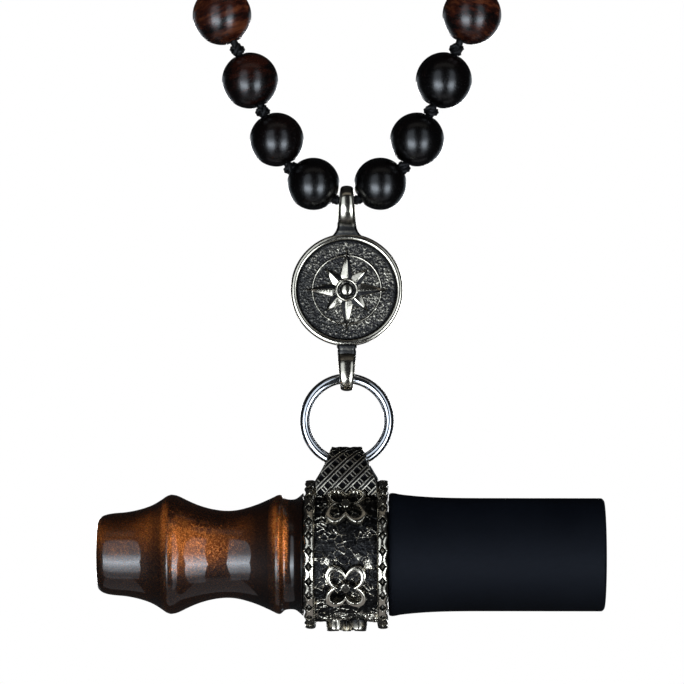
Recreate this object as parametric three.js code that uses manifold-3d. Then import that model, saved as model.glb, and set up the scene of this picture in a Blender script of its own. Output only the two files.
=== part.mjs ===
// A smoker's personal mouthpiece worn as a pendant: a turned, lacquered mouthpiece with a soft
// connector sleeve, held by a cast collar, a jump ring and a medallion on a knotted bead necklace.
// Millimetres, +Z up. The origin is the middle of the wearer's neck, level with the nape knot.

import * as THREE from 'three';
import { mergeVertices } from 'three/addons/utils/BufferGeometryUtils.js';
import Module from 'manifold-3d';

const wasm = await Module();
wasm.setup();

const WELD = 1e-4;
const HALF_TURN = Math.PI;
const QUARTER_TURN = Math.PI / 2;
const OVERSHOOT = 1;
const GAP = 0.3;

// Where the pendant hangs, seen from the middle of the neck.
const PENDANT_Y = -60;
const STRING_LOW_Z = -200;
const STRING_ABOVE_MOUTHPIECE = 65.5;
const MOUTHPIECE_Z = STRING_LOW_Z - STRING_ABOVE_MOUTHPIECE;

// Mouthpiece body, liner and sleeve, along X from the middle of the collar.
const BODY_OUTLINE = [
  [-45.8, 6.2], [-45.5, 6.8], [-44.3, 7.4], [-41.0, 7.8], [-38.7, 8.2], [-36.5, 8.9], [-34.6, 9.9],
  [-33.2, 10.9], [-32.4, 11.0], [-31.4, 10.8], [-29.5, 9.9], [-26.5, 8.7], [-22.1, 8.1], [-17.6, 8.9],
  [-15.0, 9.9], [-13.2, 10.85], [-12.3, 11.0], [-11.4, 10.4], [-10.2, 10.2], [-9.1, 10.3], [-8.1, 11.35],
];
const TIP_X = -46.1;
const TIP_MOUTH_R = 5.6;
const BODY_FLANGE_END_X = -8;
const BODY_FLANGE_R = 11.4;
const BODY_SHOULDER_X = -6.9;
const BODY_NECK_R = 10.2;
const COLLAR_SEAT_R = 9.6;
const COLLAR_SEAT_END_X = 7.4;
const SPIGOT_R = 7.9;
const SPIGOT_END_X = 26;
const BARB_RISE = 0.25;
const BARB_XS = [12, 17, 22];
const BARB_LENGTH = 2.4;
const BODY_BORE_R = 4.9;
const LINER_OUTER_R = BODY_BORE_R - GAP;
const LINER_BORE_R = 4.1;
const LINER_START_X = -45.2;
const SLEEVE_START_X = 8;
const SLEEVE_END_X = 47.6;
const SLEEVE_SPIGOT_BORE_R = SPIGOT_R + BARB_RISE + 0.1;
const SLEEVE_STEP_X = SPIGOT_END_X + 1;
const SLEEVE_OUTLINE = [[8, 11.1], [8.4, 11.35], [11, 11.05], [14, 10.75], [18, 10.5], [47.2, 10.45]];
const SLEEVE_END_R = 10.1;
const HOSE_SOCKET_R = 7.1;
const TURNED_SIDES = 28;

// Collar, its bail and its raised ornament.
const COLLAR_HALF = 7.7;
const COLLAR_COUNTERBORE_R = BODY_NECK_R + GAP;
const COLLAR_COUNTERBORE_END_X = BODY_SHOULDER_X + GAP;
const COLLAR_BORE_R = COLLAR_SEAT_R + GAP;
const PANEL_R = 12.5;
const RIM_WIDTH = 2;
const RIM_R = 13.8;
const RIM_SCALLOP = 0.3;
const RIM_SCALLOPS = 30;
const COLLAR_SIDES = 40;
const MOTIF_TOP_R = 14.2;
const MOTIF_ROOT_R = 12;
const MOTIF_ANGLES_DEG = [45, -22.5, -90, -157.5, 135];
const MOTIF_LOBE_OFFSET = 2.3;
const MOTIF_LOBE_R = 2.3;
const MOTIF_LINE = 1.1;
const MOTIF_STRETCH = 1.15;
const MOTIF_SIDES = 24;
const BAIL_TOP_Z = 20;
const BAIL_BASE_Z = 11.4;
const BAIL_TOP_HALF = 3.1;
const BAIL_FOOT_Z = 13.8;
const BAIL_FOOT_HALF = 5.6;
const BAIL_ARCH = [[-6.1, 11.4], [-6.0, 13.2], [-5.2, 15.8], [-3.9, 18.2], [-2.2, 19.6], [0, 20]];
const BAIL_EYE = [[-3.8, 13.6], [-3.4, 15.6], [-2.4, 17.3], [-1.2, 18.05], [0, 18.2]];

// Jump ring.
const RING_R = 7.8;
const RING_WIRE_R = 0.93;
const RING_Z = 24.8;
const RING_SIDES = 12;
const RING_STEPS = 40;
const RING_BOTTOM_Z = RING_Z - RING_R;

// Medallion: a disc in the XZ plane with an upper and a lower loop.
const MEDALLION_Z = 49;
const MEDALLION_R = 10.4;
const MEDALLION_HALF = 1.5;
const MEDALLION_RIM = 1.3;
const MEDALLION_RECESS = 0.6;
const MEDALLION_BEVEL = 0.4;
const MEDALLION_SIDES = 40;
const UPPER_LOOP_SIDE = [
  [1.9, 58.6], [2.3, 60.3], [2.9, 62.4], [3.3, 64.6], [3.1, 66.2], [2.4, 67.5], [1.3, 68.2], [0, 68.4],
];
const UPPER_LOOP_FACE = [[2.3, 58.6], [2.2, 59.6], [1.65, 60.6], [1.6, 64], [1.3, 67.4], [0.8, 68.5]];
const UPPER_EYE = { bottom: 61.9, top: 66.9, halfWidth: 1.75 };
const LOWER_LOOP_SIDE = [
  [2.0, 39.4], [2.2, 37.6], [2.8, 35.2], [2.9, 33.2], [2.5, 31.6], [1.5, 30.5], [0, 30.2],
];
const LOWER_LOOP_FACE = [[1.9, 39.4], [1.75, 38], [1.6, 36], [1.3, 31.6], [0.8, 30.1]];
const LOWER_EYE = { bottom: 31.37, top: 36.4, halfWidth: 1.6 };
const EYE_SIDES = 8;
const STAR_LONG = 6.6;
const STAR_SHORT = 4.6;
const STAR_WAIST = 2.6;
const STAR_WAIST_AT = 2.4;
const STAR_RAYS = 8;
const STAR_HEIGHT = 0.45;
const STAR_BOSS_R = 1.7;
const STAR_BOSS_HEIGHT = 0.6;

// Necklace: one side's string route, from the medallion to the nape knot. The string is knotted at
// each point after the first but the last, and each stretch between two knots carries one bead.
const STRING_ROUTE = [
  [0.15, -60, -200], [2.0, -60, -199.8], [10.4, -60, -193.9], [15.6, -60, -183.4], [20.3, -60, -172.0],
  [26.0, -60, -159.3], [30.9, -58.9, -146.8], [35.5, -56.3, -134.4], [39.6, -52.6, -122.0],
  [43.4, -48.4, -109.8], [47.2, -43.6, -97.8], [50.9, -38.2, -86.0], [54.7, -32.1, -74.5],
  [58.4, -25.3, -63.4], [61.7, -17.5, -53.0], [64.4, -8.7, -43.1], [65.9, 1.2, -34.0],
  [65.8, 12.0, -25.9], [63.4, 23.2, -18.8], [58.3, 34.1, -12.6], [50.4, 43.8, -7.6], [40.1, 51.6, -3.6],
  [28.0, 56.8, -0.8], [14.7, 59.1, 0.6], [2.7, 60.2, 0.6],
];
const STRING_R = 0.75;
const STRING_SIDES = 8;
const STRING_STEPS = 80;
const BEAD_COUNT = 22;
const FIRST_BEAD_RADII = [4.85, 5.0, 5.2, 5.45];
const BEAD_R = 5.45;
const BEAD_BORE_R = 1.25;
const BEAD_SIDES = 10;
const BEAD_BANDS = 6;
const NAPE_KNOT_HALF = 2.4;
const NAPE_KNOT_R = 2.2;
const NAPE_KNOT_WAIST_R = 1.3;
const NAPE_KNOT_SIDES = 10;

const FINISHES = {
  lacquer: { color: 0x5a2d14, metalness: 0.5, roughness: 0.25 },
  steel: { color: 0xb4b7bb, metalness: 1, roughness: 0.2 },
  silver: { color: 0x6f6a60, metalness: 1, roughness: 0.4 },
  rubber: { color: 0x111620, metalness: 0, roughness: 0.8 },
  ebony: { color: 0x1a110e, metalness: 0, roughness: 0.35 },
  string: { color: 0x0c0c0c, metalness: 0, roughness: 0.9 },
};

// Joins the corners that share a place and drops the flat slivers a lathe leaves on its axis.
function welded(geometry) {
  geometry.deleteAttribute('normal');
  geometry.deleteAttribute('uv');
  const joined = mergeVertices(geometry, WELD);
  const kept = [];
  const index = joined.index.array;
  for (let i = 0; i < index.length; i += 3) {
    const [a, b, c] = [index[i], index[i + 1], index[i + 2]];
    if (a !== b && b !== c && c !== a) {
      kept.push(a, b, c);
    }
  }
  joined.setIndex(kept);
  return joined;
}

function solid(geometry) {
  const joined = welded(geometry);
  return new wasm.Manifold(new wasm.Mesh({
    numProp: 3,
    vertProperties: new Float32Array(joined.attributes.position.array),
    triVerts: new Uint32Array(joined.index.array),
  }));
}

function surface(body) {
  const mesh = body.getMesh();
  const geometry = new THREE.BufferGeometry();
  geometry.setAttribute('position', new THREE.BufferAttribute(mesh.vertProperties, 3));
  geometry.setIndex(new THREE.BufferAttribute(mesh.triVerts, 1));
  return geometry;
}

function piece(name, geometry, finish) {
  const joined = welded(geometry);
  joined.computeVertexNormals();
  const mesh = new THREE.Mesh(joined, new THREE.MeshStandardMaterial(FINISHES[finish]));
  mesh.name = name;
  return mesh;
}

// The pendant's pieces are drawn round the mouthpiece's axis, then hung in their place.
function hung(name, geometry, finish) {
  return piece(name, geometry.translate(0, PENDANT_Y, MOUTHPIECE_Z), finish);
}

// Turns a closed outline of [distance along, radius] corners round the Y axis.
function turnedAboutY(outline, sides) {
  const corners = outline.map(([along, radius]) => new THREE.Vector2(radius, along));
  corners.push(corners[0].clone());
  return new THREE.LatheGeometry(corners, sides);
}

function turnedAboutX(outline, sides) {
  return turnedAboutY(outline, sides).rotateZ(-QUARTER_TURN);
}

function outlineShape(corners) {
  return new THREE.Shape(corners.map(([a, b]) => new THREE.Vector2(a, b)));
}

// A flat outline in Y and Z given thickness along X, from -half to +half.
function thickAlongX(shape, half) {
  const turn = new THREE.Matrix4().makeBasis(
    new THREE.Vector3(0, 1, 0), new THREE.Vector3(0, 0, 1), new THREE.Vector3(1, 0, 0));
  const geometry = new THREE.ExtrudeGeometry(shape, { depth: 2 * half, bevelEnabled: false });
  return geometry.translate(0, 0, -half).applyMatrix4(turn);
}

// A flat outline in X and Z given thickness along Y, from front to back.
function thickAlongY(shape, front, back) {
  const geometry = new THREE.ExtrudeGeometry(shape, { depth: back - front, bevelEnabled: false });
  return geometry.rotateX(QUARTER_TURN).translate(0, back, 0);
}

// Mirrors one side of an outline, listed from its foot to its middle, to close it.
function mirrored(side) {
  const other = side.filter(([a]) => a !== 0).map(([a, b]) => [-a, b]);
  return [...side, ...other.reverse()];
}

function mouthBodyOutline() {
  const barbs = BARB_XS.flatMap((x) => [
    [x, SPIGOT_R], [x + BARB_LENGTH, SPIGOT_R + BARB_RISE], [x + BARB_LENGTH, SPIGOT_R],
  ]);
  return [
    [TIP_X, BODY_BORE_R], [TIP_X, TIP_MOUTH_R], ...BODY_OUTLINE,
    [BODY_FLANGE_END_X, BODY_FLANGE_R], [BODY_FLANGE_END_X, BODY_NECK_R],
    [BODY_SHOULDER_X, BODY_NECK_R], [BODY_SHOULDER_X, COLLAR_SEAT_R],
    [COLLAR_SEAT_END_X, COLLAR_SEAT_R], [COLLAR_SEAT_END_X, SPIGOT_R], ...barbs,
    [SPIGOT_END_X, SPIGOT_R], [SPIGOT_END_X, BODY_BORE_R],
  ];
}

function mouthBody() {
  return hung('mouth_body', turnedAboutX(mouthBodyOutline(), TURNED_SIDES), 'lacquer');
}

function linerTube() {
  const outline = [
    [LINER_START_X, LINER_BORE_R], [LINER_START_X, LINER_OUTER_R],
    [SPIGOT_END_X, LINER_OUTER_R], [SPIGOT_END_X, LINER_BORE_R],
  ];
  return hung('liner_tube', turnedAboutX(outline, TURNED_SIDES), 'steel');
}

function connectorSleeve() {
  const outline = [
    [SLEEVE_START_X, SLEEVE_SPIGOT_BORE_R], ...SLEEVE_OUTLINE, [SLEEVE_END_X, SLEEVE_END_R],
    [SLEEVE_END_X, HOSE_SOCKET_R], [SLEEVE_STEP_X, HOSE_SOCKET_R],
    [SLEEVE_STEP_X, SLEEVE_SPIGOT_BORE_R],
  ];
  return hung('connector_sleeve', turnedAboutX(outline, TURNED_SIDES), 'rubber');
}

function collarTube() {
  return turnedAboutX([
    [-COLLAR_HALF, COLLAR_COUNTERBORE_R], [-COLLAR_HALF, PANEL_R], [COLLAR_HALF, PANEL_R],
    [COLLAR_HALF, COLLAR_BORE_R], [COLLAR_COUNTERBORE_END_X, COLLAR_BORE_R],
    [COLLAR_COUNTERBORE_END_X, COLLAR_COUNTERBORE_R],
  ], COLLAR_SIDES);
}

// One scalloped rim band, a flat ring with a wavy outer edge, centred on the given place along X.
function rimBand(middle) {
  const corners = [];
  for (let i = 0; i < 2 * RIM_SCALLOPS; i += 1) {
    const angle = (i * HALF_TURN) / RIM_SCALLOPS;
    const radius = i % 2 ? RIM_R - RIM_SCALLOP : RIM_R;
    corners.push([radius * Math.cos(angle), radius * Math.sin(angle)]);
  }
  const shape = outlineShape(corners);
  const inside = new THREE.Path();
  inside.absarc(0, 0, PANEL_R - OVERSHOOT, 0, 2 * HALF_TURN, true);
  shape.holes.push(inside);
  return thickAlongX(shape, RIM_WIDTH / 2).translate(middle, 0, 0);
}

// A four-lobed line, as points round it, at the given lobe radius.
function fourLobes(lobeRadius) {
  const points = [];
  for (let i = 0; i < MOTIF_SIDES; i += 1) {
    const angle = (2 * HALF_TURN * (i + 0.5)) / MOTIF_SIDES;
    const toLobe = MOTIF_LOBE_OFFSET * Math.abs(Math.sin(2 * angle));
    const reach = toLobe + lobeRadius;
    points.push([reach * Math.cos(angle), MOTIF_STRETCH * reach * Math.sin(angle)]);
  }
  return points;
}

// Bends a plate lying on X (across) and Y (along) with height Z round the collar's axis.
function wrappedRoundCollar(geometry, middleAngle) {
  const place = geometry.attributes.position;
  for (let i = 0; i < place.count; i += 1) {
    const radius = place.getZ(i);
    const angle = middleAngle + place.getY(i) / MOTIF_TOP_R;
    place.setXYZ(i, place.getX(i), -radius * Math.cos(angle), radius * Math.sin(angle));
  }
  return geometry;
}

function collarMotif(angleDeg) {
  const shape = outlineShape(fourLobes(MOTIF_LOBE_R));
  shape.holes.push(new THREE.Path(
    fourLobes(MOTIF_LOBE_R - MOTIF_LINE).reverse().map(([a, b]) => new THREE.Vector2(a, b))));
  const depth = MOTIF_TOP_R - MOTIF_ROOT_R;
  const plate = new THREE.ExtrudeGeometry(shape, { depth, bevelEnabled: false });
  plate.translate(0, 0, MOTIF_ROOT_R);
  return wrappedRoundCollar(plate, THREE.MathUtils.degToRad(angleDeg));
}

// The room the jump ring's curved wire sweeps as the collar swings round it.
function ringSweep() {
  const points = [];
  const steps = 6;
  for (let i = -steps; i <= steps; i += 1) {
    const along = (i * BAIL_FOOT_HALF) / steps;
    const rise = RING_R - Math.sqrt(RING_R ** 2 - along ** 2);
    points.push([along, rise + RING_WIRE_R + GAP]);
  }
  const outline = [[-BAIL_FOOT_HALF, 0], ...points, [BAIL_FOOT_HALF, 0]];
  return turnedAboutX(outline, EYE_SIDES * 2).translate(0, 0, RING_BOTTOM_Z);
}

function collarBail() {
  const face = mirrored([
    [BAIL_FOOT_HALF, BAIL_BASE_Z], [BAIL_FOOT_HALF, BAIL_FOOT_Z], [BAIL_TOP_HALF, BAIL_TOP_Z],
  ]);
  const eye = mirrored([[-3.8, PANEL_R + GAP], ...BAIL_EYE]);
  const arch = solid(thickAlongX(outlineShape(mirrored(BAIL_ARCH).reverse()), BAIL_FOOT_HALF));
  return arch
    .intersect(solid(thickAlongY(outlineShape(face), -COLLAR_HALF, COLLAR_HALF)))
    .subtract(solid(thickAlongX(outlineShape([...eye].reverse()), COLLAR_HALF)))
    .subtract(solid(ringSweep()));
}

function collar() {
  const core = solid(turnedAboutX([
    [-COLLAR_HALF, 0], [-COLLAR_HALF, PANEL_R - OVERSHOOT], [COLLAR_HALF, PANEL_R - OVERSHOOT],
    [COLLAR_HALF, 0],
  ], COLLAR_SIDES));
  let body = collarBail().subtract(core).add(solid(collarTube()));
  for (const side of [-1, 1]) {
    body = body.add(solid(rimBand(side * (COLLAR_HALF - RIM_WIDTH / 2))));
  }
  for (const angle of MOTIF_ANGLES_DEG) {
    body = body.add(solid(collarMotif(angle)));
  }
  return hung('collar', surface(body), 'silver');
}

function jumpRing() {
  const ring = new THREE.TorusGeometry(RING_R, RING_WIRE_R, RING_SIDES, RING_STEPS);
  return hung('jump_ring', ring.rotateX(QUARTER_TURN).translate(0, 0, RING_Z), 'steel');
}

// A tall rounded eye in Y and Z, right through the loop along X.
function eyeCutter({ bottom, top, halfWidth }) {
  const corners = [];
  for (let i = 0; i <= EYE_SIDES; i += 1) {
    const angle = (i * HALF_TURN) / EYE_SIDES;
    corners.push([halfWidth * Math.cos(angle), top - halfWidth + halfWidth * Math.sin(angle)]);
  }
  for (let i = 0; i <= EYE_SIDES; i += 1) {
    const angle = HALF_TURN + (i * HALF_TURN) / EYE_SIDES;
    corners.push([halfWidth * Math.cos(angle), bottom + halfWidth + halfWidth * Math.sin(angle)]);
  }
  return solid(thickAlongX(outlineShape(corners), MEDALLION_R / 2));
}

function medallionLoop(side, face, eye) {
  const band = solid(thickAlongX(outlineShape(mirrored(side)), MEDALLION_R / 2));
  const taper = solid(thickAlongY(outlineShape(mirrored(face)), -MEDALLION_R / 2, MEDALLION_R / 2));
  return band.intersect(taper).subtract(eyeCutter(eye));
}

function medallionDisc() {
  const floor = -MEDALLION_HALF + MEDALLION_RECESS;
  return turnedAboutY([
    [floor, 0], [floor, MEDALLION_R - MEDALLION_RIM],
    [-MEDALLION_HALF, MEDALLION_R - MEDALLION_RIM + MEDALLION_BEVEL],
    [-MEDALLION_HALF, MEDALLION_R - MEDALLION_BEVEL], [-MEDALLION_HALF + MEDALLION_BEVEL, MEDALLION_R],
    [MEDALLION_HALF - MEDALLION_BEVEL, MEDALLION_R], [MEDALLION_HALF, MEDALLION_R - MEDALLION_BEVEL],
    [MEDALLION_HALF, 0],
  ], MEDALLION_SIDES).translate(0, 0, MEDALLION_Z);
}

// The raised compass star: pointed rays, long and short by turns, round a small boss.
function medallionStar() {
  const floor = -MEDALLION_HALF + MEDALLION_RECESS;
  let star = solid(turnedAboutY([
    [floor - STAR_BOSS_HEIGHT, 0], [floor - STAR_BOSS_HEIGHT, STAR_BOSS_R], [0, STAR_BOSS_R], [0, 0],
  ], STAR_RAYS * 2));
  for (let i = 0; i < STAR_RAYS; i += 1) {
    const reach = i % 2 ? STAR_SHORT : STAR_LONG;
    const ray = outlineShape([[0, 0], [STAR_WAIST_AT, -STAR_WAIST / 2], [reach, 0],
      [STAR_WAIST_AT, STAR_WAIST / 2]]);
    const plate = thickAlongY(ray, floor - STAR_HEIGHT, 0);
    star = star.add(solid(plate.rotateY((2 * HALF_TURN * i) / STAR_RAYS)));
  }
  return star.translate([0, 0, MEDALLION_Z]);
}

function medallion() {
  const disc = solid(medallionDisc());
  const recessFloor = -MEDALLION_HALF + MEDALLION_RECESS;
  const recess = solid(turnedAboutY([
    [-MEDALLION_R, 0], [-MEDALLION_R, MEDALLION_R - MEDALLION_RIM],
    [recessFloor, MEDALLION_R - MEDALLION_RIM], [recessFloor, 0],
  ], MEDALLION_SIDES).translate(0, 0, MEDALLION_Z));
  const loops = medallionLoop(UPPER_LOOP_SIDE, UPPER_LOOP_FACE, UPPER_EYE)
    .add(medallionLoop(LOWER_LOOP_SIDE, LOWER_LOOP_FACE, LOWER_EYE))
    .subtract(recess);
  return hung('medallion', surface(disc.add(loops).add(medallionStar())), 'silver');
}

// One side's route as vectors; side is -1 for the left string and +1 for the right.
function route(side) {
  return STRING_ROUTE.map(([x, y, z]) => new THREE.Vector3(side * x, y, z));
}

function cord(name, side) {
  const path = new THREE.CatmullRomCurve3(route(side), false, 'centripetal');
  const section = new THREE.Shape();
  for (let i = 0; i < STRING_SIDES; i += 1) {
    const angle = (2 * HALF_TURN * i) / STRING_SIDES;
    const corner = [STRING_R * Math.cos(angle), STRING_R * Math.sin(angle)];
    if (i === 0) {
      section.moveTo(...corner);
    } else {
      section.lineTo(...corner);
    }
  }
  const tube = new THREE.ExtrudeGeometry(section, { steps: STRING_STEPS, extrudePath: path });
  return piece(name, tube, 'string');
}

function beadOutline(radius) {
  const lean = Math.asin(BEAD_BORE_R / radius);
  const outline = [];
  for (let i = 0; i <= BEAD_BANDS; i += 1) {
    const angle = lean + ((HALF_TURN - 2 * lean) * i) / BEAD_BANDS;
    outline.push([-radius * Math.cos(angle), radius * Math.sin(angle)]);
  }
  return outline;
}

function bead(sideName, number, from, to) {
  const radius = FIRST_BEAD_RADII[number] ?? BEAD_R;
  const along = new THREE.Vector3().subVectors(to, from).normalize();
  const turn = new THREE.Quaternion().setFromUnitVectors(new THREE.Vector3(0, 1, 0), along);
  const middle = new THREE.Vector3().addVectors(from, to).multiplyScalar(0.5);
  const geometry = turnedAboutY(beadOutline(radius), BEAD_SIDES);
  geometry.applyQuaternion(turn).translate(middle.x, middle.y, middle.z);
  const label = String(number + 1).padStart(2, '0');
  return piece(`bead_${sideName}_${label}`, geometry, 'ebony');
}

function beads(sideName, side) {
  const knots = route(side).slice(1);
  const made = [];
  for (let i = 0; i < BEAD_COUNT; i += 1) {
    made.push(bead(sideName, i, knots[i], knots[i + 1]));
  }
  return made;
}

function napeKnot() {
  const [, y, z] = STRING_ROUTE.at(-1);
  const knot = turnedAboutX([
    [-NAPE_KNOT_HALF, 0], [-NAPE_KNOT_HALF, NAPE_KNOT_WAIST_R], [-NAPE_KNOT_HALF / 2, NAPE_KNOT_R],
    [NAPE_KNOT_HALF / 2, NAPE_KNOT_R], [NAPE_KNOT_HALF, NAPE_KNOT_WAIST_R], [NAPE_KNOT_HALF, 0],
  ], NAPE_KNOT_SIDES);
  return piece('nape_knot', knot.translate(0, y, z), 'string');
}

const pendantNecklace = new THREE.Group();
pendantNecklace.name = 'mouthpiece_pendant_necklace';
pendantNecklace.add(mouthBody(), linerTube(), connectorSleeve(), collar(), jumpRing(), medallion());
pendantNecklace.add(cord('cord_left', -1), ...beads('left', -1));
pendantNecklace.add(cord('cord_right', 1), ...beads('right', 1), napeKnot());

export default pendantNecklace;
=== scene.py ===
"""A smoker's turned mouthpiece worn as a pendant on a knotted bead necklace.

Everything is in metres in the CAD frame. The pendant's pieces are drawn in millimetres round the
mouthpiece's own axis, at the middle of the collar, and placed from the CAD boxes.
"""
import math

import bpy
import numpy as np
from mathutils import Matrix, Vector, kdtree, noise


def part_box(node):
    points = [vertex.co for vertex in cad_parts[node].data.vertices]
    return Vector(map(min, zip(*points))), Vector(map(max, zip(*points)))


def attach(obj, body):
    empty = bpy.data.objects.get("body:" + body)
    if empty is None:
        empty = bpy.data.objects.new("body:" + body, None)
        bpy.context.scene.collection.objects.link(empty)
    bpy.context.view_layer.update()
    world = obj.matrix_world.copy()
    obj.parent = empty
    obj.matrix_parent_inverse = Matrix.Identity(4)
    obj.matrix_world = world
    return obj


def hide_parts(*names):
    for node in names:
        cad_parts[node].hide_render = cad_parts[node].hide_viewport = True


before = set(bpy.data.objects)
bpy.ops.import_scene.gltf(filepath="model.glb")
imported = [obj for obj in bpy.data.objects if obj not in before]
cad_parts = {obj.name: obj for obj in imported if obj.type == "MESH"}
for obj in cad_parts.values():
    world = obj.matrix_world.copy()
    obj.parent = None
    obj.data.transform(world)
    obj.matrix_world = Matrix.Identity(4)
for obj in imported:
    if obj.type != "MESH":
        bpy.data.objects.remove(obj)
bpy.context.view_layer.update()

MM = 0.001
TAU = 2 * math.pi


# ---- places taken from the frame

def centre_of(node):
    low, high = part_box(node)
    return (Vector(low) + Vector(high)) / 2


SLEEVE_CENTRE = centre_of("connector_sleeve")
PENDANT = Vector((centre_of("collar").x, SLEEVE_CENTRE.y, SLEEVE_CENTRE.z))


def local_mm(point):
    return (Vector(point) - PENDANT) / MM


def box_mm(node):
    return [local_mm(corner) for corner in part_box(node)]


BODY_LOW, BODY_HIGH = box_mm("mouth_body")
LINER_LOW, LINER_HIGH = box_mm("liner_tube")
SLEEVE_END_X = box_mm("connector_sleeve")[1].x
BAIL_TOP = box_mm("collar")[1].z
RING_CENTRE = local_mm(centre_of("jump_ring"))
RING_LOW, RING_HIGH = box_mm("jump_ring")
WIRE_R = (RING_HIGH.y - RING_LOW.y) / 2
RING_R = (RING_HIGH.x - RING_LOW.x) / 2 - WIRE_R
MEDALLION_LOW, MEDALLION_HIGH = box_mm("medallion")
MEDALLION_R = (MEDALLION_HIGH.x - MEDALLION_LOW.x) / 2


# ---- the string's route

# One side's route from the medallion to the nape knot, in metres, as in the CAD source.
STRING_ROUTE = [
    (0.00015, -0.06, -0.2), (0.002, -0.06, -0.1998), (0.0104, -0.06, -0.1939),
    (0.0156, -0.06, -0.1834), (0.0203, -0.06, -0.172), (0.026, -0.06, -0.1593),
    (0.0309, -0.0589, -0.1468), (0.0355, -0.0563, -0.1344), (0.0396, -0.0526, -0.122),
    (0.0434, -0.0484, -0.1098), (0.0472, -0.0436, -0.0978), (0.0509, -0.0382, -0.086),
    (0.0547, -0.0321, -0.0745), (0.0584, -0.0253, -0.0634), (0.0617, -0.0175, -0.053),
    (0.0644, -0.0087, -0.0431), (0.0659, 0.0012, -0.034), (0.0658, 0.012, -0.0259),
    (0.0634, 0.0232, -0.0188), (0.0583, 0.0341, -0.0126), (0.0504, 0.0438, -0.0076),
    (0.0401, 0.0516, -0.0036), (0.028, 0.0568, -0.0008), (0.0147, 0.0591, 0.0006),
    (0.0027, 0.0602, 0.0006),
]
STRING_D = 0.0015
SIDES = {"left": -1, "right": 1}
BEADS_PER_SIDE = 22
# The first beads' radii from the medallion up; all the others are as the last.
BEAD_RADII_MM = [4.85, 5.0, 5.2, 5.45]


def route(side):
    return [Vector((side * x, y, z)) for x, y, z in STRING_ROUTE]


def between(start, end, start_way, end_way, t):
    """A point of the cubic that leaves one point and reaches the next in the ways given."""
    return ((2 * t ** 3 - 3 * t ** 2 + 1) * start + (t ** 3 - 2 * t ** 2 + t) * start_way
            + (3 * t ** 2 - 2 * t ** 3) * end + (t ** 3 - t ** 2) * end_way)


def smooth_route(points, steps=24):
    """A centripetal Catmull-Rom curve through the points, as the CAD's tube follows."""
    ends = [2 * points[0] - points[1], *points, 2 * points[-1] - points[-2]]
    line = []
    for i in range(len(points) - 1):
        p0, p1, p2, p3 = ends[i:i + 4]
        t0, t1, t2 = ((b - a).length ** 0.5 for a, b in ((p0, p1), (p1, p2), (p2, p3)))
        m1 = ((p1 - p0) / t0 - (p2 - p0) / (t0 + t1) + (p2 - p1) / t1) * t1
        m2 = ((p2 - p1) / t1 - (p3 - p1) / (t1 + t2) + (p3 - p2) / t2) * t1
        line += [between(p1, p2, m1, m2, k / steps) for k in range(steps)]
    line.append(points[-1].copy())
    return line


# ---- camera

CAMERA_DISTANCE = 0.66
PICTURE_WIDTH = 0.1267
SENSOR_MM = 36
PICTURE_MIDDLE_ABOVE_AXIS = 0.03935
PICTURE_MIDDLE_X = -0.0009
CAMERA_AZIMUTH = math.radians(1.2)
LIGHT_AZIMUTH = math.radians(4.8)


def in_scene(name, data):
    thing = bpy.data.objects.new(name, data)
    bpy.context.scene.collection.objects.link(thing)
    return thing


def add_camera():
    data = bpy.data.cameras.new("camera")
    data.sensor_width = SENSOR_MM
    data.lens = SENSOR_MM * CAMERA_DISTANCE / PICTURE_WIDTH
    data.clip_start = 0.05
    data.clip_end = 20
    camera = in_scene("camera", data)
    middle = PENDANT + Vector((PICTURE_MIDDLE_X, 0, PICTURE_MIDDLE_ABOVE_AXIS))
    away = Vector((math.sin(CAMERA_AZIMUTH), -math.cos(CAMERA_AZIMUTH), 0))
    camera.location = middle + away * CAMERA_DISTANCE
    camera.rotation_euler = (math.radians(90), 0, CAMERA_AZIMUTH)
    bpy.context.scene.camera = camera


# ---- mesh helpers

def new_object(name, points, faces, material, attributes=None, sharp_deg=40):
    mesh = bpy.data.meshes.new(name)
    mesh.from_pydata(np.asarray(points).tolist(), [], faces)
    mesh.update()
    for key, values in (attributes or {}).items():
        kind, field = ("FLOAT", "value") if np.ndim(values) == 1 else ("FLOAT_VECTOR", "vector")
        layer = mesh.attributes.new(key, kind, "POINT")
        layer.data.foreach_set(field, np.asarray(values, dtype=np.float32).ravel())
    mesh.shade_smooth()
    mesh.set_sharp_from_angle(angle=math.radians(sharp_deg))
    mesh.materials.append(material)
    return in_scene(name, mesh)


def grid_faces(nu, nv, wrap_v=True, caps=False, offset=0):
    """Quads over a grid that wraps round in u. Caps close the two open ends of v."""
    index = np.arange(nu * nv).reshape(nu, nv) + offset
    a, b = index, np.roll(index, -1, 0)
    if wrap_v:
        c, d = np.roll(b, -1, 1), np.roll(a, -1, 1)
    else:
        c, d = b[:, 1:], a[:, 1:]
        a, b = a[:, :-1], b[:, :-1]
    faces = np.stack([a, b, c, d], -1).reshape(-1, 4).tolist()
    if caps:
        faces.append(index[:, 0].tolist())
        faces.append(index[::-1, -1].tolist())
    return faces


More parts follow.
